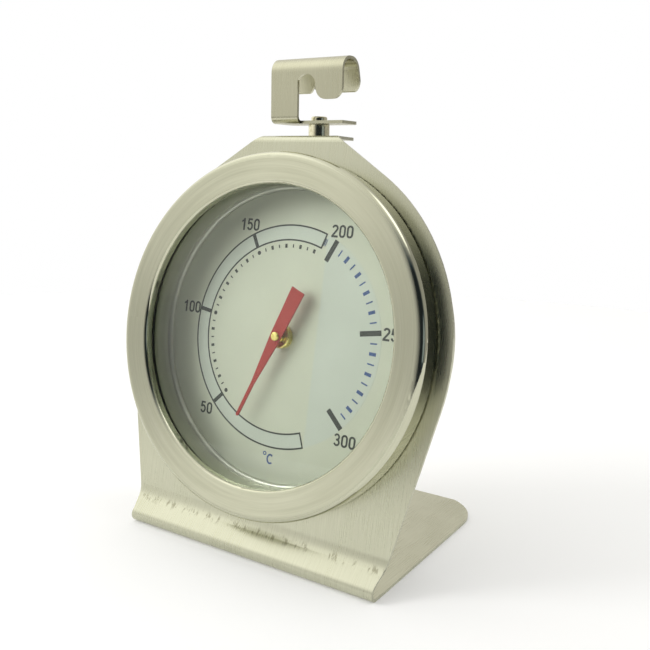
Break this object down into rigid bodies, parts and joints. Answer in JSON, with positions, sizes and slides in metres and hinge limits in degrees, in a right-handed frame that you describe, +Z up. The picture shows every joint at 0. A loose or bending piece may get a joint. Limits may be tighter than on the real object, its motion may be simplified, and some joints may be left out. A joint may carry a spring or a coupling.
{
  "type": "oven thermometer",
  "caption": "Round dial oven thermometer with a red pointer, on a folded steel sheet stand with a swivelling rack hook on top.",
  "frame": {"origin": "point on the standing surface straight below the centre of the dial, on the foot's underside", "axes": "+X to the viewer's right along the foot's front edge, +Y from the dial to the back, +Z up; the dial's face leans back by 10 degrees and looks towards -Y"},
  "size_m": [0.0644, 0.0448, 0.0819],
  "materials": {
    "stand_sheet": "brushed stainless sheet, grain along the plate",
    "hook_sheet": "brushed stainless sheet",
    "rivet": "bright, slightly brassy plated steel",
    "spacer": "bright, slightly brassy plated steel",
    "bezel_steel": "stainless, brushed in circles on the face, polished rim",
    "window": "clear flat glass",
    "gasket": "dark silicone",
    "ring_metal": "satin",
    "dial_paint": "matt pale grey-green print",
    "case_steel": "drawn stainless, satin",
    "lock_ring": "spring steel",
    "bush_brass": "turned brass",
    "bracket_steel": "plated steel strip",
    "bearing_brass": "turned brass",
    "bimetal": "bimetal strip",
    "clamp": "plated steel",
    "clamp_rivet": "steel rivet",
    "collet_brass": "turned brass",
    "arbor_brass": "turned brass",
    "pointer_paint": "satin red"
  },
  "bodies": {
    "stand": {"stand": "stand_sheet", "hook_rivet": "rivet", "hook_spacer": "spacer", "bezel": "bezel_steel", "glass": "window", "glass_gasket": "gasket", "spacer_ring": "ring_metal", "dial": "dial_paint", "case_back": "case_steel", "lock_ring": "lock_ring", "dial_bush": "bush_brass", "bracket": "bracket_steel", "rear_bearing": "bearing_brass", "bimetal_coil": "bimetal", "coil_clamp": "clamp", "clamp_rivet": "clamp_rivet"},
    "hook": {"hook": "hook_sheet"},
    "pointer": {"arbor": "arbor_brass", "pointer": "pointer_paint", "coil_collet": "collet_brass"}
  },
  "joints": [
    {"name": "hook_swivel", "type": "hinge", "parent": "stand", "child": "hook", "pos_m": [0, 0.0096, 0.0708], "axis": [0, 0, 1], "continuous": true},
    {"name": "pointer_turn", "type": "hinge", "parent": "stand", "child": "pointer", "pos_m": [0, 0.00059, 0.0357], "axis": [0, -0.9848, 0.1736], "range_deg": [-297, 43.2], "stiffness_Nm_per_rad": 0.0004}
  ]
}
